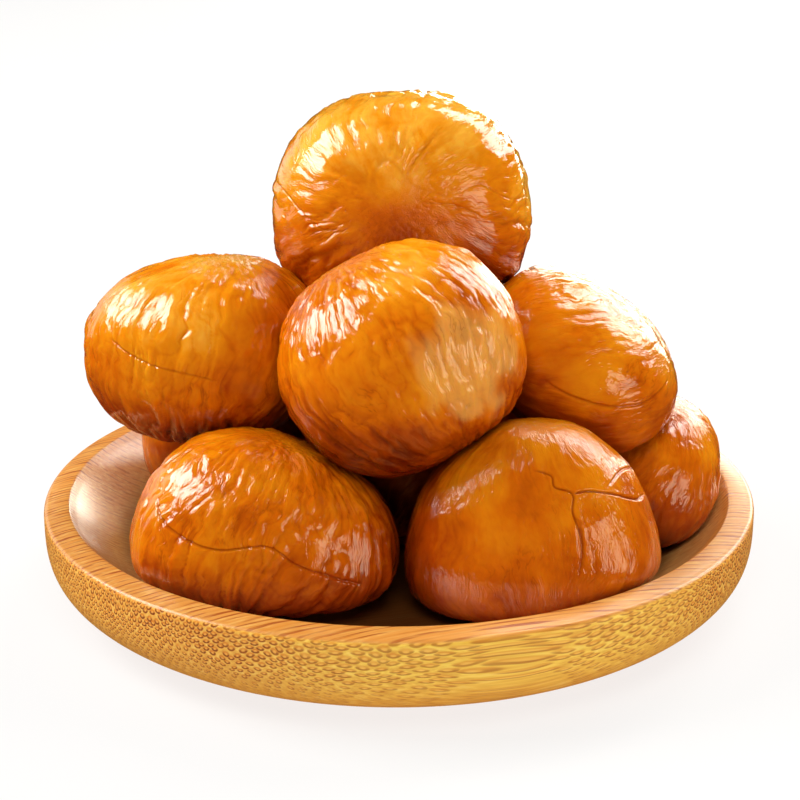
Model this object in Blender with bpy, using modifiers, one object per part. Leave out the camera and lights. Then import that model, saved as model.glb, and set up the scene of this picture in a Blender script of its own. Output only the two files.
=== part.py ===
"""Roasted, peeled chestnuts heaped on a shallow turned bamboo dish.

Lengths in the design are millimetres; meshes are built in metres. The origin is the middle of the
dish's flat base, +Z is up and the front of the heap faces -Y.
"""

import itertools
import math
from collections import namedtuple

import bmesh
import bpy
import numpy as np
from mathutils import Euler

MM = 0.001

# The dish.
DISH_RADIUS = 45.0
FOOT_RADIUS = 35.0
RIM_INNER_RADIUS = 41.8
RIM_HEIGHT = 13.0  # at the rim's inner edge
RIM_FALL = 0.4  # how much lower the rim's outer edge lies
EDGE_ROUND = 0.7  # radius of the rim's outer edge
FLOOR_HEIGHT = 6.8  # top of the dish's floor
FLOOR_RADIUS = 31.0  # where the floor starts to rise
SLOPE_POWER = 1.8  # how late the inner slope steepens
WALL_POWER = 3.8  # how late the outer wall turns in to the foot
SLOPE_POINTS = 6
EDGE_POINTS = 3
WALL_POINTS = 8
DISH_STEPS = 72

# The chestnuts.
GAP = 0.3  # clearance between touching solids
PRESS_ROUNDING = 0.5  # how softly a pressed flat runs into the round
GRID = 7  # faces along each side of the cube that is blown up into a chestnut

LOBE_DEPTH = 0.022  # share of the radius by which the furrows along a kernel lie below its lobes
LOBE_TURN = 137.5  # degrees that each kernel's lobes are turned further than the last one's

# centre: of the kernel; half: half sizes along its own axes; turn: degrees about X, Y and Z;
# dome and belly: how boxy the upper and lower sides are, 2 being an ellipsoid;
# taper: how much narrower the top is than the middle; wedge: how much thinner the +X end is.
Chestnut = namedtuple(
    "Chestnut", "centre half turn dome belly taper wedge lobes", defaults=(2.3, 2.6, 0, 0, 3)
)

CHESTNUTS = {
    "chestnut_top": Chestnut((0.4, 8.5, 47.5), (16.1, 13.5, 14.6), (0, -2, 3)),
    "chestnut_middle_front": Chestnut((0.5, -15.5, 35.3), (14.6, 12.8, 12.6), (15, -26, 2), belly=2.3),
    "chestnut_middle_left": Chestnut((-23.6, -2.5, 32.8), (15, 13.5, 11.1), (-6, -6, -17), belly=2.4),
    "chestnut_middle_right": Chestnut((22.2, -2.5, 31), (13.3, 14, 8.9), (0, 36, -2)),
    "chestnut_front_left": Chestnut(
        (-15.5, -20.3, 16.4), (15.5, 11.5, 10.4), (0, 9, 4), belly=2.9, taper=0.12, wedge=0.14
    ),
    "chestnut_front_right": Chestnut(
        (15.6, -20.8, 17), (14.3, 11.6, 12.4), (0, -4, -4), dome=2.4, belly=2.8, taper=0.25
    ),
    "chestnut_low_right": Chestnut((31, 0, 15.5), (9.8, 12.5, 9), (0, 0, -8)),
    "chestnut_low_left": Chestnut((-21.6, 13, 16.5), (12, 12, 10), (0, 0, -4)),
    "chestnut_low_middle": Chestnut((0.3, 1.5, 17), (12.5, 12.3, 10.6), (0, 3, 0), wedge=0.1),
    "chestnut_back_left": Chestnut((-9, 27.5, 17.3), (13.8, 11, 10), (0, 8, -2), wedge=-0.15),
    "chestnut_back_right": Chestnut((17.5, 21, 17.3), (13.5, 12.5, 10.5), (-4, 6, 4), lobes=2),
    "chestnut_middle_back": Chestnut((0.3, 27.5, 35.5), (15, 12, 11.5), (0, 8, 3), taper=0.12),
}

BAMBOO = ((0.60, 0.33, 0.12), 0.45)
KERNEL = ((0.52, 0.20, 0.02), 0.25)


def clear_scene():
    for obj in list(bpy.data.objects):
        bpy.data.objects.remove(obj)


def make_material(name, look):
    colour, roughness = look
    material = bpy.data.materials.new(name)
    material.use_nodes = True
    shader = material.node_tree.nodes["Principled BSDF"]
    shader.inputs["Base Color"].default_value = (*colour, 1)
    shader.inputs["Roughness"].default_value = roughness
    shader.inputs["Metallic"].default_value = 0
    return material


def add_object(name, mesh, material, collection):
    mesh.materials.append(material)
    mesh.shade_smooth()
    obj = bpy.data.objects.new(name, mesh)
    collection.objects.link(obj)
    return obj


def slope_height(radius):
    """Height of the dish's inner surface at a distance from its axis."""
    t = np.clip((radius - FLOOR_RADIUS) / (RIM_INNER_RADIUS - FLOOR_RADIUS), 0, 1)
    return FLOOR_HEIGHT + (RIM_HEIGHT - FLOOR_HEIGHT) * t**SLOPE_POWER


def wall_radius(t):
    """Radius of the outer wall, from the rim's edge at t = 0 to the foot at t = 1."""
    return FOOT_RADIUS + (DISH_RADIUS - FOOT_RADIUS) * (1 - t**WALL_POWER)


def dish_profile():
    """(radius, height) points from the floor's middle, over the rim, to the base's middle."""
    points = [(0, FLOOR_HEIGHT)]
    for i in range(SLOPE_POINTS + 1):
        radius = FLOOR_RADIUS + (RIM_INNER_RADIUS - FLOOR_RADIUS) * i / SLOPE_POINTS
        points.append((radius, float(slope_height(radius))))
    centre_r = DISH_RADIUS - EDGE_ROUND
    centre_z = RIM_HEIGHT - RIM_FALL - EDGE_ROUND
    for i in range(EDGE_POINTS + 1):
        angle = math.pi / 2 * (1 - i / EDGE_POINTS)
        points.append((
            centre_r + EDGE_ROUND * math.cos(angle),
            centre_z + EDGE_ROUND * math.sin(angle),
        ))
    for i in range(1, WALL_POINTS + 1):
        t = (i / WALL_POINTS) ** 0.7  # closer together where the wall turns in
        points.append((wall_radius(t), centre_z * (1 - t)))
    points.append((0, 0))
    return points


def make_dish(collection):
    points = dish_profile()
    mesh = bpy.data.meshes.new("bamboo_dish")
    vertices = [(r * MM, 0, z * MM) for r, z in points]
    mesh.from_pydata(vertices, [(i, i + 1) for i in range(len(points) - 1)], [])
    dish = add_object("bamboo_dish", mesh, make_material("bamboo", BAMBOO), collection)
    screw = dish.modifiers.new("turned", "SCREW")
    screw.steps = DISH_STEPS
    screw.render_steps = DISH_STEPS
    screw.use_merge_vertices = True
    screw.merge_threshold = 0.00005
    screw.use_smooth_shade = True
    return dish


def kernel_mesh(name):
    """A cube whose faces are split into a grid: the coarse body that every chestnut starts from."""
    shape = bmesh.new()
    bmesh.ops.create_cube(shape, size=2)
    bmesh.ops.subdivide_edges(shape, edges=shape.edges, cuts=GRID - 1, use_grid_fill=True)
    mesh = bpy.data.meshes.new(name)
    shape.to_mesh(mesh)
    shape.free()
    return mesh


def read_points(mesh):
    flat = np.empty(len(mesh.vertices) * 3)
    mesh.vertices.foreach_get("co", flat)
    return flat.reshape(-1, 3)


def kernel_points(cube, nut, lobe_angle):
    """The cube's points blown up to the kernel's rounded form, turned and put in its place."""
    direction = np.tan(cube * (math.pi / 4))  # evens out the grid on the sphere
    direction /= np.linalg.norm(direction, axis=1)[:, None]
    half = np.array(nut.half)
    power = np.where(direction[:, 2] > 0, nut.dome, nut.belly)
    reach = (np.abs(direction / half) ** power[:, None]).sum(1) ** (-1 / power)
    around = np.arctan2(direction[:, 2], direction[:, 1])
    lobe = np.cos(nut.lobes * around + lobe_angle) * (1 - direction[:, 0] ** 2)
    points = direction * (reach * (1 + LOBE_DEPTH * lobe))[:, None]
    points[:, :2] *= (1 - nut.taper * points[:, 2] / half[2])[:, None]
    points[:, 2] *= 1 - nut.wedge * points[:, 0] / half[0]
    turn = np.array(Euler([math.radians(a) for a in nut.turn]).to_matrix())
    return points @ turn.T + np.array(nut.centre)


def spread_directions(count):
    """Unit vectors spread evenly over the sphere on a golden-angle spiral."""
    i = np.arange(count) + 0.5
    polar = np.arccos(1 - 2 * i / count)
    around = math.pi * (1 + 5**0.5) * i
    return np.stack([
        np.cos(around) * np.sin(polar),
        np.sin(around) * np.sin(polar),
        np.cos(polar),
    ], 1)


def soft_over(depth):
    """How far a point that lies depth past a limit moves back, rounded off around the limit."""
    return PRESS_ROUNDING * np.logaddexp(0, depth / PRESS_ROUNDING)


def press_together(a, b, directions):
    """Flattens two sets of points against the plane that parts them with the least change."""
    reach = (a @ directions.T).max(0) - (b @ directions.T).min(0)
    best = reach.argmin()
    if reach[best] + GAP <= 0:
        return
    normal = directions[best]
    middle = ((a @ normal).max() + (b @ normal).min()) / 2
    a -= normal * soft_over(a @ normal - middle + GAP / 2)[:, None]
    b += normal * soft_over(middle + GAP / 2 - b @ normal)[:, None]


def settle_in_dish(points):
    """Lifts what would reach into the dish, which leaves a flat where the kernel lies on it."""
    radius = np.hypot(points[:, 0], points[:, 1])
    depth = slope_height(radius) + GAP - points[:, 2]
    points[:, 2] += soft_over(depth)


def make_chestnuts(collection):
    cube = kernel_mesh("cube_grid")
    grid = read_points(cube)
    bpy.data.meshes.remove(cube)
    points = {}
    for index, (name, nut) in enumerate(CHESTNUTS.items()):
        points[name] = kernel_points(grid, nut, math.radians(LOBE_TURN * index))
    directions = spread_directions(1500)
    for a, b in itertools.combinations(points, 2):
        press_together(points[a], points[b], directions)
    for name in points:
        settle_in_dish(points[name])
        mesh = kernel_mesh(name)
        mesh.vertices.foreach_set("co", (points[name] * MM).ravel())
        add_object(name, mesh, make_material(name + "_skin", KERNEL), collection)


def main():
    clear_scene()
    collection = bpy.data.collections.new("roasted_chestnuts")
    bpy.context.scene.collection.children.link(collection)
    make_dish(collection)
    make_chestnuts(collection)


main()
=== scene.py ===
"""Peeled roasted chestnuts heaped on a turned bamboo dish: the looks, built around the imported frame.

Lengths are millimetres where a name or comment doesn't say otherwise; meshes are built in metres.
The front of the heap faces -Y.
"""

import itertools
import math
from collections import namedtuple

import bmesh
import bpy
import numpy as np
from mathutils import Euler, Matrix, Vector
from mathutils.bvhtree import BVHTree


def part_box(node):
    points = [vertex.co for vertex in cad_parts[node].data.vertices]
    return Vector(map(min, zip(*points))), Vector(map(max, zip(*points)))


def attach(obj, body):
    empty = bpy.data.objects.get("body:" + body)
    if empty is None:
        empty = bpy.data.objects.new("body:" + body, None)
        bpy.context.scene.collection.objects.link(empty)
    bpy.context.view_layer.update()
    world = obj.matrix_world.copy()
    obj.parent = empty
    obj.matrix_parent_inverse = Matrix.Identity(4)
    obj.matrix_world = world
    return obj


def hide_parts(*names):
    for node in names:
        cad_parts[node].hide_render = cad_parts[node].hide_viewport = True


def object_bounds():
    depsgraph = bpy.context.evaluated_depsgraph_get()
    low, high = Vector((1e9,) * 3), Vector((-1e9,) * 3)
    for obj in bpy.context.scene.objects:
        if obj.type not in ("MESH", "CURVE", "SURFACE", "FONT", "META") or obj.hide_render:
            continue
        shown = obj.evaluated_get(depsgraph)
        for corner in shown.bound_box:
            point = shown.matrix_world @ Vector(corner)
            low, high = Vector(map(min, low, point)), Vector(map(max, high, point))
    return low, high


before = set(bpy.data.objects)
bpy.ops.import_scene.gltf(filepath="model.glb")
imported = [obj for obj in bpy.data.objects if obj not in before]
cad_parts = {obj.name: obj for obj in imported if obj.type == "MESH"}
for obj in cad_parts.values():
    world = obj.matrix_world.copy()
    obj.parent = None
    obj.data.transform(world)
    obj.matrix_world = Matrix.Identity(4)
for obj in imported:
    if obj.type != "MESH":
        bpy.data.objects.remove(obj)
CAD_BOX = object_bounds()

MM = 0.001

# ---------------------------------------------------------------- random but fixed patterns


def lattice_value(cell, seed):
    """A fixed value from -1 to 1 for each whole-number cell."""
    mixed = cell[:, 0] * 73856093 ^ cell[:, 1] * 19349663 ^ cell[:, 2] * 83492791 ^ seed * 2654435761
    mixed = (mixed ^ (mixed >> 13)) * 1274126177 & 0xFFFFFFFF
    mixed = (mixed ^ (mixed >> 16)) * 2246822519 & 0xFFFFFFFF
    return (mixed ^ (mixed >> 15)) % 65536 / 32767.5 - 1


def waves(points, seed):
    """Smooth random values, about -1 to 1, one wave to each unit of length."""
    cell = np.floor(points).astype(np.int64)
    part = points - cell
    fade = part**3 * (part * (part * 6 - 15) + 10)
    total = np.zeros(len(points))
    for corner in itertools.product((0, 1), repeat=3):
        share = np.prod(np.where(corner, fade, 1 - fade), axis=1)
        total += share * lattice_value(cell + corner, seed)
    return total


def smooth_step(low, high, value):
    t = np.clip((value - low) / (high - low), 0, 1)
    return t * t * (3 - 2 * t)


# ---------------------------------------------------------------- kernels

FINE = 7  # icosphere subdivisions of a kernel that shows
COARSE = 6  # and of one that is mostly hidden
SMOOTHING = 70  # rounds of averaging that take the CAD solid's facets away
GROWN = 0.2  # how far the skin lies outside that form; with the relief, pressed kernels overlap a little
POLE_RADIUS = 0.35  # of the patch round a kernel's pole where its grain has no direction
PATH_STEPS = 6  # points on a crack between two given ones
PAINTED_TOP_LIGHT = 0.20  # painted light: how much more golden a kernel is painted on its upper side than at its middle
REFINED_BANDS = (1.1, 0.6)  # how far from a crack the faces are split, once and once more
CRACK_DEPTH = 0.32  # of a crack of depth 1
CRACK_WIDTH = 0.17
CRACK_COLOUR_WIDTH = 0.13
CRACK_LIP_HEIGHT = 0.10  # how far the flesh beside a crack bulges
CRACK_LIP_WIDTH = 0.8
SWELL_HEIGHT = 0.20  # of a kernel's slow unevenness
DENT_DEPTHS = (0.05, 0.08)  # on any kernel, and what a fold of 1 adds
CREASE_DEPTH = 0.22
CREASE_WIDTH = 0.08  # as a share of the slow wave that the creases follow
WRINKLE_DEPTHS = (0.16, 0.17, 0.07)  # of the broad, narrow and fine wrinkles
PLEATS = 26  # around a kernel's lower side
PLEAT_DEPTH = 0.9
PLEAT_TONE = 0.1  # how much more golden the pleats' backs are than their furrows
SHELTER_REACH = 14  # how far off a neighbour still shelters a kernel's skin in the painted shade
PAINTED_UNDERSIDE_SHADE = 0.15  # painted shade: how much darker a kernel's lower side is painted
PAINTED_NEIGHBOUR_SHADE = 0.34  # painted shade: how much darker the skin is painted where neighbours shut it in, after the photo's shading
OPEN_SKY = 0.2  # the least cosine between the skin's normal and a ray that looks for neighbours
TOP_MARGIN = 0.01  # what stays free below the top of the CAD box

# pole: where the kernel's grain lines meet; tone: how golden it is, from 0, dark orange, to 1;
# wrinkle, fold: how deep its fine wrinkles and its broad creases are, 1 being usual;
# cracks: lines along which the flesh has split: how deep, and points near the surface. Nearly all of
# these points were found by a program that carried places read off the photo onto the imported solids;
# pale: the direction of a patch painted paler as a painted reflection, or none; tuck: how far its underside
# is drawn in.
Kernel = namedtuple(
    "Kernel", "pole tone wrinkle fold cracks pale tuck fine", defaults=(1, 1, (), None, 0, FINE)
)

KERNELS = {
    "chestnut_top": Kernel((-0.06, -0.95, 0.25), 0.71, 1.5, 1.1, (
        (0.35, ((-15, 6, 51.5), (-14, 2, 51.5), (-12, -1, 50), (-8.5, -3, 48), (-6.5, -4, 48.5))),
        (0.3, ((3, -4.5, 51.5), (7, -3.5, 51), (10.5, -2.5, 49))),
        (0.25, ((16, 5, 50), (14, 1, 50.5), (11.5, -1, 52), (9.5, -2, 53.5))),
    )),
    # Its pale patch, at the front right, is a painted reflection.
    "chestnut_middle_front": Kernel((-0.5, 0.36, 0.78), 0.60, 2.1, 0.2, pale=(0.55, -0.79, 0.28)),
    "chestnut_middle_left": Kernel((0.2, 0.1, 0.97), 0.65, 2.0, 0.6, (
        (0.45, ((-35, -11, 37), (-32, -13.5, 35.5), (-28.5, -15, 34.5), (-24, -16, 33.7), (-21, -16.5, 33))),
    )),
    "chestnut_middle_right": Kernel((-0.9, -0.44, -0.05), 0.62, 1.0, 0.2, (
        (0.6, ((17, -15.5, 33), (20.5, -16, 31), (25.5, -16, 29.5), (30, -13.5, 29.5), (34, -9, 31))),
    )),
    "chestnut_front_left": Kernel((0.35, 0.21, 0.88), 0.56, 1.8, 0.8, (
        (0.75, ((-29.5, -25.5, 23), (-29, -28, 21), (-25.5, -31.5, 19), (-21, -33, 18), (-15, -33, 18.5),
                (-11.5, -32.5, 16), (-6, -31, 13.5), (-3.5, -28.5, 12))),
    ), tuck=0.7),
    "chestnut_front_right": Kernel((-0.1, 0.13, 0.96), 0.52, 0.7, 0.1, (
        (0.8, ((15, -28.5, 26.5), (17.5, -29, 26), (18, -30, 25), (20, -30, 24), (20, -31, 22),
               (21, -32, 19), (21, -33, 16.5), (20.3, -33, 14))),
        (1.0, ((20, -30, 24), (22, -29.5, 24.2), (24.5, -28.5, 23.5), (28, -25.5, 21.5), (30, -21, 20.5))),
        (0.6, ((28, -19, 23), (26, -24, 24.5), (24, -28, 24))),
    ), tuck=0.5),
    "chestnut_low_right": Kernel((0.3, 0.1, 0.95), 0.5, 1.0, 0.5),
    "chestnut_low_left": Kernel((0.1, 0.4, 0.9), 0.5, 1, 0.8, fine=COARSE),
    "chestnut_low_middle": Kernel((0.5, 0.5, 0.7), 0.4, 1, 0.8, fine=COARSE),
    "chestnut_back_left": Kernel((-0.3, 0.2, 0.93), 0.5, 1, 0.8, fine=COARSE),
    "chestnut_back_right": Kernel((0.6, 0.3, 0.74), 0.45, 1, 0.8, fine=COARSE),
    "chestnut_middle_back": Kernel((0.1, 0.3, 0.95), 0.55, 1.2, 0.8),
}


def node_surface(node):
    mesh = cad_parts[node].data
    corners = [v.co.copy() for v in mesh.vertices]
    return BVHTree.FromPolygons(corners, [tuple(p.vertices) for p in mesh.polygons])


def averaged(values, edges, rounds):
    """Values on a mesh's points, each moved towards its neighbours' mean again and again."""
    count = np.bincount(edges.ravel(), minlength=len(values))
    for _ in range(rounds):
        total = np.bincount(edges[:, 0], values[edges[:, 1]], len(values))
        total += np.bincount(edges[:, 1], values[edges[:, 0]], len(values))
        values = 0.5 * values + 0.5 * total / count
    return values


def unit(vector):
    return np.array(vector, float) / np.linalg.norm(vector)


def frame_about(pole):
    """Two unit vectors at right angles to the pole and to each other."""
    side = unit(np.cross(pole, (0.31, 0.83, -0.46)))
    return side, np.cross(pole, side)


def grain_of(directions, pole, seed):
    """The place of each direction in the kernel's grain: round the pole (two values) and along it."""
    side, other = frame_about(pole)
    along = directions @ pole
    x, y = directions @ side, directions @ other
    ring = np.hypot(x, y)
    turn = 0.12 * waves(directions * 1.7, seed) + 0.04 * waves(directions * 5, seed + 1)
    turn += 0.022 * waves(directions * 13, seed + 3)
    around = np.arctan2(y, x) + turn
    spread = np.tanh(ring / POLE_RADIUS)
    along = along + 0.1 * waves(directions * 3, seed + 2)
    return np.stack([np.cos(around) * spread, np.sin(around) * spread, along], 1)


def rounded_path(path, centre):
    """Directions from the centre along a smooth curve through the path's points."""
    points = np.array(path, float) - centre
    ends = np.vstack([2 * points[0] - points[1], points, 2 * points[-1] - points[-2]])
    curve = []
    for before, a, b, after in zip(ends, ends[1:], ends[2:], ends[3:]):
        for t in np.arange(0, 1, 1 / PATH_STEPS):
            curve.append(0.5 * (
                2 * a + (b - before) * t + (2 * before - 5 * a + 4 * b - after) * t**2
                + (3 * a - before - 3 * b + after) * t**3
            ))
    curve = np.array(curve + [points[-1]])
    return curve / np.linalg.norm(curve, axis=1)[:, None]


def path_distance(directions, curve):
    """Each direction's distance from the curve, on the unit sphere, and its place along it, 0 to 1."""
    best = np.full(len(directions), 9.0)
    place = np.zeros(len(directions))
    for i, (a, b) in enumerate(zip(curve[:-1], curve[1:])):
        t = np.clip((directions - a) @ (b - a) / ((b - a) @ (b - a)), 0, 1)
        away = np.linalg.norm(directions - a - t[:, None] * (b - a), axis=1)
        nearer = away < best
        best = np.where(nearer, away, best)
        place = np.where(nearer, (i + t) / (len(curve) - 1), place)
    return best, place


def directions_of(shape):
    found = np.array([v.co for v in shape.verts])
    return found / np.linalg.norm(found, axis=1)[:, None]


def refine_along(shape, curves, size):
    """Splits the faces near the curves, so that a thin crack has points enough."""
    for band in REFINED_BANDS:
        directions = directions_of(shape)
        near = np.zeros(len(directions), bool)
        for curve in curves:
            near |= path_distance(directions, curve)[0] * size < band
        shape.edges.ensure_lookup_table()
        chosen = [e for e in shape.edges if near[e.verts[0].index] and near[e.verts[1].index]]
        bmesh.ops.subdivide_edges(shape, edges=chosen, cuts=1, use_grid_fill=True)
        bmesh.ops.triangulate(shape, faces=shape.faces[:])
        shape.verts.index_update()


def base_shape(name, look, centre):
    """A fine ball drawn in to the CAD solid, without its facets, and still without relief."""
    surface = node_surface(name)
    shape = bmesh.new()
    bmesh.ops.create_icosphere(shape, subdivisions=look.fine, radius=1)
    directions = directions_of(shape)
    edges = np.array([[v.index for v in e.verts] for e in shape.edges])
    reach = np.array([surface.ray_cast(centre, Vector(d))[3] for d in directions]) / MM
    rounds = SMOOTHING if look.fine == FINE else SMOOTHING // 4
    smooth = averaged(reach, edges, rounds)
    smooth *= reach.mean() / smooth.mean()
    for vertex, point in zip(shape.verts, directions * smooth[:, None]):
        vertex.co = point
    return shape, smooth.mean()


def spread_directions(count):
    """Unit vectors spread evenly over the sphere on a golden-angle spiral."""
    i = np.arange(count) + 0.5
    level = 1 - 2 * i / count
    around = math.pi * (1 + 5**0.5) * i
    ring = np.sqrt(1 - level**2)
    return np.stack([ring * np.cos(around), ring * np.sin(around), level], 1)


def powers_of(directions):
    """Products of the three coordinates up to the fifth degree, which can make any slow pattern."""
    columns = []
    for i, j, k in itertools.product(range(6), repeat=3):
        if i + j + k <= 5:
            columns.append(directions[:, 0]**i * directions[:, 1]**j * directions[:, 2]**k)
    return np.stack(columns, 1)


def neighbour_cover_for_shade(name, centre, directions):
    """How much of the air before each point its neighbours take up, 0 to 1, as a smooth field; it sets the
    painted shade between kernels.
    """
    corners, faces = [], []
    for other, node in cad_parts.items():
        if other not in (name, "bamboo_dish"):
            faces += [tuple(len(corners) + v for v in p.vertices) for p in node.data.polygons]
            corners += [v.co.copy() for v in node.data.vertices]
    neighbours = BVHTree.FromPolygons(corners, faces)
    own = node_surface(name)
    outward = spread_directions(500)
    sky = [Vector(d) for d in spread_directions(60)]
    taken = []
    for direction in outward:
        place, normal = own.ray_cast(centre, Vector(direction))[:2]
        if normal.dot(Vector(direction)) < 0:
            normal = -normal
        start = place + normal * MM
        rays = [d for d in sky if d.dot(normal) > OPEN_SKY]
        blocked = sum(neighbours.ray_cast(start, d, SHELTER_REACH * MM)[0] is not None for d in rays)
        taken.append(blocked / len(rays))
    shares = np.linalg.lstsq(powers_of(outward), np.array(taken), rcond=None)[0]
    return np.clip(powers_of(directions) @ shares, 0, 1)


def pillows(points, seed):
    """Waves whose low places are narrow, about -0.3 to 0.6."""
    return np.sqrt(waves(points, seed) ** 2 + 0.004) - 0.3


def valley_of(height):
    return smooth_step(-0.10, -0.24, height)


def skin_relief(look, seed, directions, grain, low_side):
    """How far the skin stands out, and where its creases, pleats and the valleys of its wrinkles are."""
    pole = unit(look.pole)
    away_from_pole = smooth_step(0.1, 0.55, np.sqrt(np.maximum(0, 1 - (directions @ pole) ** 2)))
    # Broad creases run from pole to pole where a slow wave crosses nought.
    slow = waves(grain * (2.6, 2.6, 0.7), seed + 10)
    crease = np.exp(-((slow / CREASE_WIDTH) ** 2))
    crease *= smooth_step(-0.2, 0.5, waves(directions * 2.2, seed + 11))
    crease *= away_from_pole
    swell = waves(directions * 2.3, seed + 12)
    dents = waves(directions * 5.5, seed + 13)
    patch = smooth_step(-0.45, 0.45, waves(directions * 2.6, seed + 14))
    # Wrinkles are rounded pillows with narrow valleys between them.
    wrinkles = pillows(grain * (7.5, 7.5, 2.0), seed + 15)
    narrow = pillows(grain * (13, 13, 4), seed + 16)
    fine = pillows(grain * (24, 24, 8), seed + 17)
    around = np.arctan2(grain[:, 1], grain[:, 0])
    pleats = np.sqrt(np.abs(np.sin(PLEATS / 2 * around + 2.5 * waves(directions * 2, seed + 18)))) - 0.7
    relief = SWELL_HEIGHT * swell + (DENT_DEPTHS[0] + DENT_DEPTHS[1] * look.fold) * dents
    relief += PLEAT_DEPTH * look.fold * low_side * away_from_pole * pleats
    relief -= look.tuck * smooth_step(-0.25, -0.75, directions[:, 2])
    relief -= CREASE_DEPTH * look.fold * crease
    wrinkled = look.wrinkle * (0.6 + 0.4 * patch) * (0.3 + 0.7 * away_from_pole)
    broad_depth, narrow_depth, fine_depth = WRINKLE_DEPTHS
    relief += wrinkled * (broad_depth * wrinkles + narrow_depth * narrow + fine_depth * fine)
    valleys = wrinkled * (valley_of(wrinkles) + 0.8 * valley_of(narrow) + 0.5 * valley_of(fine))
    return relief, crease, pleats, valleys


def cut_cracks(relief, directions, size, cracks):
    """Cuts the cracks into the relief and returns how open the flesh is at each point, 0 to 1."""
    split = np.zeros(len(relief))
    for depth, curve in cracks:
        away, place = path_distance(directions, curve)
        away = away * size
        fades = depth * smooth_step(0, 0.09, place) * smooth_step(1, 0.85, place)
        relief += CRACK_LIP_HEIGHT * fades * np.exp(-((away / CRACK_LIP_WIDTH) ** 2))
        relief -= CRACK_DEPTH * fades * np.exp(-((away / CRACK_WIDTH) ** 2))
        split = np.maximum(split, fades * np.exp(-((away / CRACK_COLOUR_WIDTH) ** 2)))
    return split


def painted_reflection_patch(look, seed, directions, grain):
    """How strongly the painted reflection paints the flesh paler at each point, 0 to 1."""
    if not look.pale:
        return np.zeros(len(directions))
    pale = directions @ unit(look.pale) + 0.07 * waves(directions * 5, seed + 22)
    return smooth_step(0.84, 0.95, pale + 0.03 * waves(grain * (14, 14, 4), seed + 23))


def make_kernel(name, look, seed):
    low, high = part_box(name)
    centre = (low + high) / 2
    middle = np.array(centre) / MM
    shape, size = base_shape(name, look, centre)
    cracks = [(depth, rounded_path(path, middle)) for depth, path in look.cracks]
    refine_along(shape, [curve for _, curve in cracks], size)
    base = np.array([v.co for v in shape.verts])
    directions = directions_of(shape)
    grain = grain_of(directions, unit(look.pole), seed)
    low_side = smooth_step(0.1, -0.7, directions[:, 2])
    relief, crease, pleats, valleys = skin_relief(look, seed, directions, grain, low_side)
    split = cut_cracks(relief, directions, size, cracks)
    points = base + directions * (relief + GROWN)[:, None]
    points += middle
    points[:, 2] = np.minimum(points[:, 2], CAD_BOX[1].z / MM - TOP_MARGIN)
    for vertex, point in zip(shape.verts, points * MM):
        vertex.co = point
    mesh = bpy.data.meshes.new(name + "_flesh")
    shape.to_mesh(mesh)
    shape.free()
    mesh.shade_smooth()

    mottle = 0.14 * waves(directions * 2, seed + 20) + 0.05 * waves(grain * (5, 5, 1), seed + 21)
    # painted light: the upper side is painted more golden
    tone = look.tone + mottle + PAINTED_TOP_LIGHT * directions[:, 2] - 0.06 * valleys
    # painted shade: the lower side is painted darker
    tone += (PLEAT_TONE * look.fold * pleats - PAINTED_UNDERSIDE_SHADE) * low_side
    # painted shade: darker where neighbouring kernels shut the skin in
    tone -= PAINTED_NEIGHBOUR_SHADE * neighbour_cover_for_shade(name, centre, directions)
    smooth = np.full(len(base), np.clip(1.5 - look.wrinkle, 0, 1))
    store(mesh, "grain", "FLOAT_VECTOR", "vector", grain)
    store(mesh, "pale", "FLOAT", "value", painted_reflection_patch(look, seed, directions, grain))
    store(mesh, "tone", "FLOAT", "value", tone)
    store(mesh, "smooth", "FLOAT", "value", smooth)
    store(mesh, "crease", "FLOAT", "value", np.clip(0.3 * crease * look.fold + split, 0, 1))
    mesh.materials.append(KERNEL_SKIN)
    kernel = bpy.data.objects.new(name + "_flesh", mesh)
    bpy.context.scene.collection.objects.link(kernel)
    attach(kernel, "root")
    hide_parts(name)


def store(mesh, name, kind, field, values):
    attribute = mesh.attributes.new(name, kind, "POINT")
    attribute.data.foreach_set(field, np.asarray(values, np.float32).ravel())


# ---------------------------------------------------------------- material helper


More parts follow.
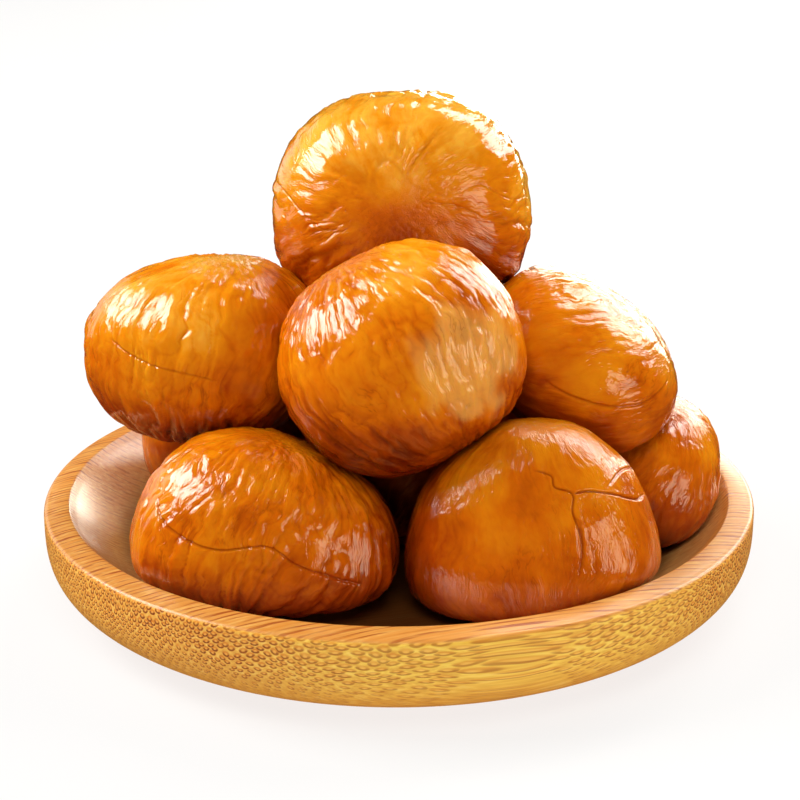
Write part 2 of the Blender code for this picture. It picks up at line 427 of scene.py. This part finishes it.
class Nodes:
    """Short ways to make a material's nodes."""

    def __init__(self, name):
        self.material = bpy.data.materials.new(name)
        self.material.use_nodes = True
        self.tree = self.material.node_tree
        self.shader = self.tree.nodes["Principled BSDF"]

    def put(self, kind, inputs=(), **settings):
        node = self.tree.nodes.new(kind)
        for key, value in settings.items():
            setattr(node, key, value)
        for key, value in dict(inputs).items():
            self.feed(node.inputs[key], value)
        return node

    def feed(self, socket, value):
        if isinstance(value, bpy.types.NodeSocket):
            self.tree.links.new(value, socket)
        else:
            socket.default_value = value

    def math(self, operation, *values, clamp=False):
        node = self.put("ShaderNodeMath", operation=operation, use_clamp=clamp)
        for socket, value in zip(node.inputs, values):
            self.feed(socket, value)
        return node.outputs[0]

    def vector(self, operation, *values):
        node = self.put("ShaderNodeVectorMath", operation=operation)
        for socket, value in zip(node.inputs, values):
            self.feed(socket, value)
        return node.outputs[0]

    def noise(self, place, scale, detail=2.0, roughness=0.5):
        inputs = {"Vector": place, "Scale": scale, "Detail": detail, "Roughness": roughness}
        return self.put("ShaderNodeTexNoise", inputs).outputs["Fac"]

    def remap(self, value, from_low, from_high, to_low=0.0, to_high=1.0, smooth=True):
        kind = "SMOOTHSTEP" if smooth else "LINEAR"
        inputs = {"Value": value, 1: from_low, 2: from_high, 3: to_low, 4: to_high}
        return self.put("ShaderNodeMapRange", inputs, interpolation_type=kind).outputs[0]

    def mix(self, share, a, b, blend="MIX"):
        node = self.put("ShaderNodeMix", data_type="RGBA", blend_type=blend)
        self.feed(node.inputs[0], share)
        self.feed(node.inputs[6], a if isinstance(a, bpy.types.NodeSocket) else (*a, 1))
        self.feed(node.inputs[7], b if isinstance(b, bpy.types.NodeSocket) else (*b, 1))
        return node.outputs[2]

    def ramp(self, value, stops):
        node = self.put("ShaderNodeValToRGB", {"Fac": value})
        ramp = node.color_ramp
        while len(ramp.elements) < len(stops):
            ramp.elements.new(0.5)
        for element, (place, colour) in zip(ramp.elements, stops):
            element.position = place
            element.color = (*colour, 1)
        return node.outputs[0]

    def attribute(self, name, output="Fac"):
        return self.put("ShaderNodeAttribute", attribute_name=name).outputs[output]

    def bump(self, height, distance, strength=1.0, under=None):
        inputs = {"Height": height, "Distance": distance, "Strength": strength}
        if under is not None:
            inputs["Normal"] = under
        return self.put("ShaderNodeBump", inputs).outputs[0]

    def set(self, **values):
        for key, value in values.items():
            self.feed(self.shader.inputs[key.replace("_", " ")], value)


def kernel_skin():
    """Sugar-glossed chestnut flesh: amber, golden where it is thin, with fine lines along its grain; its tone
    carries painted light and painted shade, and one patch is a painted reflection.
    """
    n = Nodes("glossy_chestnut")
    grain = n.attribute("grain", "Vector")
    place = n.put("ShaderNodeTexCoord").outputs["Object"]
    lines = n.noise(n.vector("MULTIPLY", grain, (9.0, 9.0, 2.4)), 1.0, 3.0, 0.6)
    hairs = n.noise(n.vector("MULTIPLY", grain, (30.0, 30.0, 7.0)), 1.0, 2.0, 0.55)
    clouds = n.noise(place, 170.0, 3.0, 0.55)
    specks = n.noise(place, 620.0, 2.0, 0.5)
    pores = n.noise(place, 1900.0, 1.0, 0.5)
    rough_patch = n.remap(n.noise(place, 75.0, 1.0), 0.42, 0.62, 0.2, 0.8)
    rough_patch = n.math("ADD", rough_patch, n.attribute("smooth"))
    tone = n.attribute("tone")
    for pattern, reach in ((lines, 0.04), (hairs, 0.02), (clouds, 0.13), (specks, 0.04)):
        tone = n.math("ADD", tone, n.remap(pattern, 0.25, 0.75, -reach, reach, False))
    colour = n.ramp(tone, [
        (0.0, (0.13, 0.010, 0.0004)),
        (0.3, (0.37, 0.050, 0.0006)),
        (0.52, (0.62, 0.135, 0.001)),
        (0.78, (0.77, 0.25, 0.004)),
        (1.0, (0.87, 0.42, 0.04)),
    ])
    # painted reflection: a patch of the skin is painted paler
    colour = n.mix(n.math("MULTIPLY", n.attribute("pale"), 0.4), colour, (0.92, 0.55, 0.13))
    crease = n.attribute("crease")
    colour = n.mix(n.math("MULTIPLY", crease, 0.8, clamp=True), colour, (0.27, 0.022, 0.0006))
    threads = n.remap(n.math("ABSOLUTE", n.math("SUBTRACT", lines, 0.5)), 0.0, 0.025, 1.0, 0.0)
    threads = n.math("MULTIPLY", threads, n.remap(n.noise(place, 120.0, 1.0), 0.46, 0.62, 0.0, 0.5))
    threads = n.math("MULTIPLY", threads, n.remap(tone, 0.66, 0.5, 0.0, 1.0))
    colour = n.mix(threads, colour, (0.30, 0.045, 0.0006))
    worms = n.math("ABSOLUTE", n.math("SUBTRACT", hairs, 0.5))
    normal = n.bump(n.math("MULTIPLY", pores, rough_patch), 0.000026)
    normal = n.bump(worms, 0.00012, under=normal)
    normal = n.bump(lines, 0.00005, under=normal)
    n.set(
        Base_Color=colour,
        Roughness=0.5,
        Specular_IOR_Level=0.0,
        Subsurface_Weight=0.35,
        Subsurface_Radius=(1.0, 0.3, 0.06),
        Subsurface_Scale=0.0022,
        Coat_Weight=1.0,
        Coat_Roughness=0.045,
        Coat_IOR=1.68,
        Normal=normal,
        Coat_Normal=normal,
    )
    return n.material


# ---------------------------------------------------------------- dish

GRAIN_ANGLE = 16.8  # degrees from +X to the bamboo's fibres, seen from above
BUNDLE_STEP = (0.86, 1.02)  # sideways and upward step of the bamboo's dark fibre bundles
BUNDLE_RADIUS = 0.235
# The wall's power and the rim's width come from fits to the dish's outline in the photo, which leave
# the foot's radius open between about 33 and 36.
SLOPE_POWER = 1.8
WALL_POWER = 3.8
FOOT_SHARE = 35 / 45  # the foot's radius as a share of the dish's
RIM_WIDTH = 3.2
RIM_FALL = 0.4
EDGE_ROUND = 0.7
INNER_ROUND = 0.35
FLOOR_RADIUS = 31.0
FLOOR_HEIGHT = 6.8
DISH_STEPS = 480
FLOOR_RINGS = 8
SLOPE_POINTS = 30
LIP_POINTS = 5  # round the rim's inner edge
RIM_POINTS = 7
EDGE_POINTS = 7  # round the rim's outer edge
WALL_POINTS = 43
FOOT_INSET = 0.6  # of the ring that keeps the shading flat under the foot


def dish_profile(radius, height):
    """(radius, height) points from the floor's middle, over the rim, to the base's middle."""
    rim_inner = radius - RIM_WIDTH
    foot = radius * FOOT_SHARE
    points = [(FLOOR_RADIUS * i / FLOOR_RINGS, FLOOR_HEIGHT) for i in range(1, FLOOR_RINGS)]
    for t in np.linspace(0, 1, SLOPE_POINTS)[:-1]:
        reach = FLOOR_RADIUS + (rim_inner - FLOOR_RADIUS) * t
        points.append((reach, FLOOR_HEIGHT + (height - FLOOR_HEIGHT) * t**SLOPE_POWER))
    points = [p for p in points if p[1] < height - INNER_ROUND * 0.9]
    for t in np.linspace(0, 1, LIP_POINTS):
        angle = math.radians(140 - 50 * t)
        points.append((
            rim_inner + INNER_ROUND * 0.5 + INNER_ROUND * math.cos(angle),
            height - INNER_ROUND * (1 - math.sin(angle)),
        ))
    centre_r = radius - EDGE_ROUND
    centre_z = height - RIM_FALL - EDGE_ROUND
    for t in np.linspace(0, 1, RIM_POINTS)[1:-1]:
        reach = rim_inner + INNER_ROUND * 0.5 + (centre_r - rim_inner - INNER_ROUND * 0.5) * t
        points.append((reach, height - RIM_FALL * t**1.5))
    for t in np.linspace(0, 1, EDGE_POINTS):
        angle = math.pi / 2 * (1 - t)
        points.append((centre_r + EDGE_ROUND * math.cos(angle), centre_z + EDGE_ROUND * math.sin(angle)))
    for t in np.linspace(0, 1, WALL_POINTS)[1:]:
        t = t**0.8
        points.append((foot + (radius - foot) * (1 - t**WALL_POWER), centre_z * (1 - t)))
    points += [(foot - FOOT_INSET, 0), (foot * 0.5, 0)]
    return points


def make_dish():
    low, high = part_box("bamboo_dish")
    radius = (high.x - low.x) / 2 / MM
    height = (high.z - low.z) / MM
    profile = np.array(dish_profile(radius, height))
    rings = len(profile)
    around = np.arange(DISH_STEPS) * 2 * math.pi / DISH_STEPS
    r, a = np.meshgrid(profile[:, 0], around, indexing="ij")
    z = np.repeat(profile[:, 1:], DISH_STEPS, axis=1)
    points = np.stack([r * np.cos(a), r * np.sin(a), z], 2).reshape(-1, 3)
    faces = []
    for ring, step in itertools.product(range(rings - 1), range(DISH_STEPS)):
        after = (step + 1) % DISH_STEPS
        corner = ring * DISH_STEPS
        faces.append((corner + step, corner + after, corner + DISH_STEPS + after, corner + DISH_STEPS + step))
    faces.append(list(range(DISH_STEPS))[::-1])
    faces.append([(rings - 1) * DISH_STEPS + i for i in range(DISH_STEPS)])
    mesh = bpy.data.meshes.new("bamboo_dish_turned")
    mesh.from_pydata(points * MM, [], [f[::-1] for f in faces])
    mesh.validate()
    mesh.shade_smooth()
    mesh.materials.append(bamboo())
    dish = bpy.data.objects.new("bamboo_dish_turned", mesh)
    bpy.context.scene.collection.objects.link(dish)
    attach(dish, "root")
    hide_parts("bamboo_dish")


def bundle_ends(n, millimetres, parts):
    """Where fibre bundles come out of the wall: their dark lower lips, stained halos and pale cores."""
    drift = n.noise(n.vector("MULTIPLY", millimetres, (0.05, 0.12, 0.12)), 1.0, 1.0)
    sway = n.noise(n.vector("MULTIPLY", millimetres, (0.06, 0.2, 0.2)), 1.3, 1.0)
    across = n.math("ADD", parts[1], n.remap(drift, 0.0, 1.0, -1.2, 1.2, False))
    up = n.math("ADD", parts[2], n.remap(sway, 0.0, 1.0, -1.0, 1.0, False))
    across_share = n.math("DIVIDE", across, BUNDLE_STEP[0])
    up_share = n.math("DIVIDE", up, BUNDLE_STEP[1])
    p = n.math("ADD", across_share, up_share)
    q = n.math("SUBTRACT", across_share, up_share)
    cell = n.put("ShaderNodeCombineXYZ", {0: p, 1: q}).outputs[0]
    nearest = n.put("ShaderNodeTexVoronoi", {"Vector": cell, "Scale": 1.0, "Randomness": 0.35},
                    voronoi_dimensions="2D").outputs
    off = n.put("ShaderNodeSeparateXYZ", {0: n.vector("SUBTRACT", cell, nearest["Position"])}).outputs
    side = n.math("MULTIPLY", n.math("ADD", off[0], off[1]), BUNDLE_STEP[0] / 2 / BUNDLE_RADIUS)
    rise = n.math("MULTIPLY", n.math("SUBTRACT", off[0], off[1]), BUNDLE_STEP[1] / 2 / BUNDLE_RADIUS)
    reach = n.math("SQRT", n.math("ADD", n.math("MULTIPLY", side, side), n.math("MULTIPLY", rise, rise)))
    reach = n.math("MULTIPLY", reach, n.remap(parts[2], 2.0, 11.0, 1.4, 0.82))
    ring = n.math("DIVIDE", n.math("SUBTRACT", reach, 0.80), 0.5)
    ring = n.math("SUBTRACT", 1.0, n.math("ABSOLUTE", ring), clamp=True)
    below = n.remap(rise, -0.4, 0.6, 1.0, 0.12)
    lips = n.math("MULTIPLY", n.remap(ring, 0.12, 0.7), below)
    halos = n.math("MULTIPLY", n.remap(reach, 0.8, 1.4, 1.0, 0.0), 0.9)
    cores = n.remap(reach, 0.0, 0.65, 1.0, 0.0)
    return lips, halos, cores


def fibre_veins(n, millimetres, parts):
    """Fibre bundles seen from the side, as long dark lines that wander and break off."""
    wander = n.noise(n.vector("MULTIPLY", millimetres, (0.07, 0.9, 0.5)), 1.0, 2.0)
    broken = n.noise(n.vector("MULTIPLY", millimetres, (0.12, 1.3, 1.3)), 1.0, 2.0)
    turns = n.math("ADD", n.math("MULTIPLY", parts[1], 2 * math.pi / BUNDLE_STEP[0]),
                   n.math("MULTIPLY", wander, 9.0))
    vein = n.remap(n.math("SINE", turns), 0.15, 0.9)
    return n.math("MULTIPLY", vein, n.remap(broken, 0.38, 0.6, 0.15, 1.0))


def bamboo():
    """Lacquered bamboo: fibre bundles run through the wood as long dark lines, dots where they end."""
    n = Nodes("lacquered_bamboo")
    coordinates = n.put("ShaderNodeTexCoord").outputs
    turned = n.put("ShaderNodeVectorRotate",
                   {"Vector": coordinates["Object"], "Angle": -math.radians(GRAIN_ANGLE)},
                   rotation_type="Z_AXIS").outputs[0]
    millimetres = n.vector("MULTIPLY", turned, (1 / MM, 1 / MM, 1 / MM))
    parts = n.put("ShaderNodeSeparateXYZ", {0: millimetres}).outputs
    lips, halos, cores = bundle_ends(n, millimetres, parts)
    upward = n.put("ShaderNodeSeparateXYZ", {0: coordinates["Normal"]}).outputs[2]
    flat = n.remap(upward, 0.35, 0.8)
    wall = n.math("SUBTRACT", 1.0, flat)
    angle = math.radians(GRAIN_ANGLE)
    along = (math.cos(angle), math.sin(angle), 0)
    facing = n.put("ShaderNodeVectorMath", {0: coordinates["Normal"], 1: along},
                   operation="DOT_PRODUCT").outputs["Value"]
    end_grain = n.remap(n.math("ABSOLUTE", facing), 0.25, 0.8)

    streaks = n.noise(n.vector("MULTIPLY", millimetres, (0.05, 2.2, 2.2)), 1.0, 3.0, 0.6)
    broad = n.noise(n.vector("MULTIPLY", millimetres, (0.03, 0.3, 0.3)), 1.0, 2.0)
    fade = n.remap(parts[2], 1.5, 9.0, 0.35, 1.0)
    strength = n.math("MULTIPLY", fade, n.remap(broad, 0.25, 0.7, 1.0, 0.7, False))
    strength = n.math("MULTIPLY", strength, n.remap(end_grain, 0.0, 1.0, 0.6, 1.0))
    dark = n.math("MULTIPLY", n.math("MULTIPLY", lips, strength), wall, clamp=True)
    veins = n.math("MULTIPLY", fibre_veins(n, millimetres, parts), n.remap(flat, 0.0, 1.0, 0.15, 0.95))
    veins = n.math("MULTIPLY", veins, n.remap(parts[2], 12.0, 13.0, 0.45, 1.0))
    ground = n.mix(end_grain, (0.97, 0.66, 0.085), (0.90, 0.48, 0.070))
    ground = n.mix(n.remap(parts[2], 0.5, 9.5), (0.95, 0.32, 0.010), ground)
    ground = n.mix(flat, ground, (0.68, 0.31, 0.065))
    # Painted sheen: the inner slope just below the rim is painted paler; the same mask also raises its coat.
    slope = n.math("MULTIPLY", flat, n.remap(parts[2], 11.8, 12.5, 1.0, 0.0))
    ground = n.mix(n.math("MULTIPLY", slope, 0.4), ground, (0.93, 0.55, 0.22))
    ground = n.mix(n.remap(streaks, 0.3, 0.6, 0.6, 0.0, False), ground, (0.66, 0.22, 0.012))
    ground = n.mix(n.remap(streaks, 0.55, 0.75, 0.0, 0.5, False), ground, (0.96, 0.66, 0.18))
    ground = n.mix(veins, ground, (0.33, 0.062, 0.005))
    stain = n.math("MULTIPLY", n.math("MULTIPLY", halos, strength), wall, clamp=True)
    ground = n.mix(stain, ground, (0.78, 0.22, 0.008))
    ground = n.mix(n.math("MULTIPLY", n.math("MULTIPLY", cores, wall), 0.45), ground, (0.95, 0.60, 0.12))
    ink = n.mix(n.remap(parts[2], 2.0, 9.5), (0.40, 0.070, 0.002), (0.22, 0.034, 0.001))
    colour = n.mix(n.math("MULTIPLY", dark, 0.95), ground, ink)
    # Painted shade: the dish's floor and the foot of its inner slope are painted near black, and their coat
    # is taken away there.
    painted_floor_shade = n.math("MULTIPLY", flat, n.remap(parts[2], 6.9, 9.0, 0.95, 0.0))
    colour = n.mix(painted_floor_shade, colour, (0.07, 0.016, 0.002))
    polish = n.remap(flat, 0.0, 1.0, 0.25, 0.4)
    polish = n.math("ADD", polish, n.math("MULTIPLY", slope, 0.6))
    height = n.math("SUBTRACT", n.math("MULTIPLY", cores, 0.3), dark)
    height = n.math("ADD", height, n.math("MULTIPLY", streaks, 0.35))
    height = n.math("SUBTRACT", height, n.math("MULTIPLY", veins, 0.4))
    n.set(
        Base_Color=colour,
        Roughness=0.45,
        IOR=1.45,
        Coat_Weight=n.math("SUBTRACT", polish, n.math("MULTIPLY", painted_floor_shade, 0.9)),
        Coat_Roughness=0.2,
        Normal=n.bump(height, 0.00005),
    )
    return n.material


# ---------------------------------------------------------------- floor, lights and camera


STUDIO_FLOOR_SIZE = 4  # metres
STUDIO_FLOOR_DROP = 0.0001  # metres below the dish, so that the two faces don't flicker
LIGHT_DISTANCE = 0.5  # metres from the heap's middle, as are the next two
CARD_DISTANCE = 0.4
FILL_DISTANCE = 0.6
DAYLIGHT = (1, 0.97, 0.92)
WARM = (1, 0.84, 0.6)
SUNSET = (1, 0.88, 0.72)
WHITE = (1, 1, 1)

# name, direction from the heap's middle, distance, size, power, colour; the gloss mirrors these.
WINDOWS_AND_CARDS = (
    ("window_left", (-0.74, 0.11, 0.60), LIGHT_DISTANCE, (0.315, 0.277), 3.0, DAYLIGHT),
    ("window_right", (0.62, 0.58, 0.50), LIGHT_DISTANCE, (0.28, 0.25), 1.5, DAYLIGHT),
    ("window_high", (0.30, 0.55, 0.78), LIGHT_DISTANCE, (0.18, 0.12), 0.6, DAYLIGHT),
    ("window_back", (0.36, 0.93, 0.08), LIGHT_DISTANCE, (0.34, 0.13), 1.3, SUNSET),
    ("card_left", (-0.70, 0.70, 0.12), LIGHT_DISTANCE, (0.40, 0.22), 0.25, WHITE),
    ("card_front", (0.80, -0.60, 0.08), CARD_DISTANCE, (0.22, 0.19), 0.42, WARM),
)
# name, direction and power of lights that aren't mirrored.
FILLS = (
    ("fill_front", (0.0, -0.62, 0.78), 1.7),
    ("fill_right", (0.80, 0.10, 0.60), 0.55),
    ("fill_low", (-0.15, -0.9, 0.15), 0.3),
)
FILL_SIZE = (0.3, 0.3)


def turned_towards(location, target):
    return (Vector(target) - Vector(location)).to_track_quat("-Z", "Y").to_euler()


def soft_light(name, toward, distance, size, power, colour):
    """An oblong light that lies in a direction from the heap's middle and faces it."""
    low, high = CAD_BOX
    middle = (low + high) / 2
    light = bpy.data.lights.new(name, "AREA")
    light.shape = "RECTANGLE"
    light.size, light.size_y = size
    light.energy = power
    light.color = colour
    lamp = bpy.data.objects.new(name, light)
    lamp.location = middle + Vector(toward).normalized() * distance
    lamp.rotation_euler = turned_towards(lamp.location, middle)
    lamp.visible_camera = False
    bpy.context.scene.collection.objects.link(lamp)
    return lamp


def studio():
    low = CAD_BOX[0]
    bpy.ops.mesh.primitive_plane_add(size=STUDIO_FLOOR_SIZE, location=(0, 0, low.z - STUDIO_FLOOR_DROP))
    floor = bpy.context.object
    floor.name = "studio_floor"
    paper = Nodes("white_paper")
    paper.set(
        Base_Color=(0.14, 0.14, 0.14, 1),
        Roughness=0.9,
        Specular_IOR_Level=0.1,
        Emission_Color=(1, 1, 1, 1),
        Emission_Strength=0.8,
    )
    floor.data.materials.append(paper.material)
    floor.visible_glossy = False
    world = bpy.data.worlds.new("studio_air")
    world.use_nodes = True
    world.node_tree.nodes["Background"].inputs[0].default_value = (1, 0.98, 0.96, 1)
    world.node_tree.nodes["Background"].inputs[1].default_value = 0.02
    bpy.context.scene.world = world
    for window_or_card in WINDOWS_AND_CARDS:
        soft_light(*window_or_card)
    for name, toward, power in FILLS:
        fill = soft_light(name, toward, FILL_DISTANCE, FILL_SIZE, power, DAYLIGHT)
        fill.visible_glossy = False
    bpy.context.scene.view_settings.view_transform = "Standard"


# The distance was chosen: from 250 to 800 the dish's rim in the photo fits about equally well. The
# elevation, roll, lens and aim were then solved from that rim.
CAMERA_DISTANCE = 300  # from the point that it looks at
CAMERA_ELEVATION = 19.8  # degrees above level
CAMERA_ROLL = -0.25  # degrees
CAMERA_LENS = 107
CAMERA_SENSOR = 36
LOOKS_AT = (0.2, 0, 24.7)


def camera():
    elevation = math.radians(CAMERA_ELEVATION)
    data = bpy.data.cameras.new("camera")
    data.lens = CAMERA_LENS
    data.sensor_width = CAMERA_SENSOR
    eye = bpy.data.objects.new("camera", data)
    back = Vector((0, -math.cos(elevation), math.sin(elevation)))
    eye.location = (Vector(LOOKS_AT) + back * CAMERA_DISTANCE) * MM
    eye.rotation_euler = Euler((math.pi / 2 - elevation, 0, 0))
    eye.rotation_euler.rotate_axis("Z", math.radians(CAMERA_ROLL))
    bpy.context.scene.collection.objects.link(eye)
    bpy.context.scene.camera = eye


camera()
studio()
KERNEL_SKIN = kernel_skin()
for index, (name, look) in enumerate(KERNELS.items()):
    make_kernel(name, look, 100 * index)
make_dish()
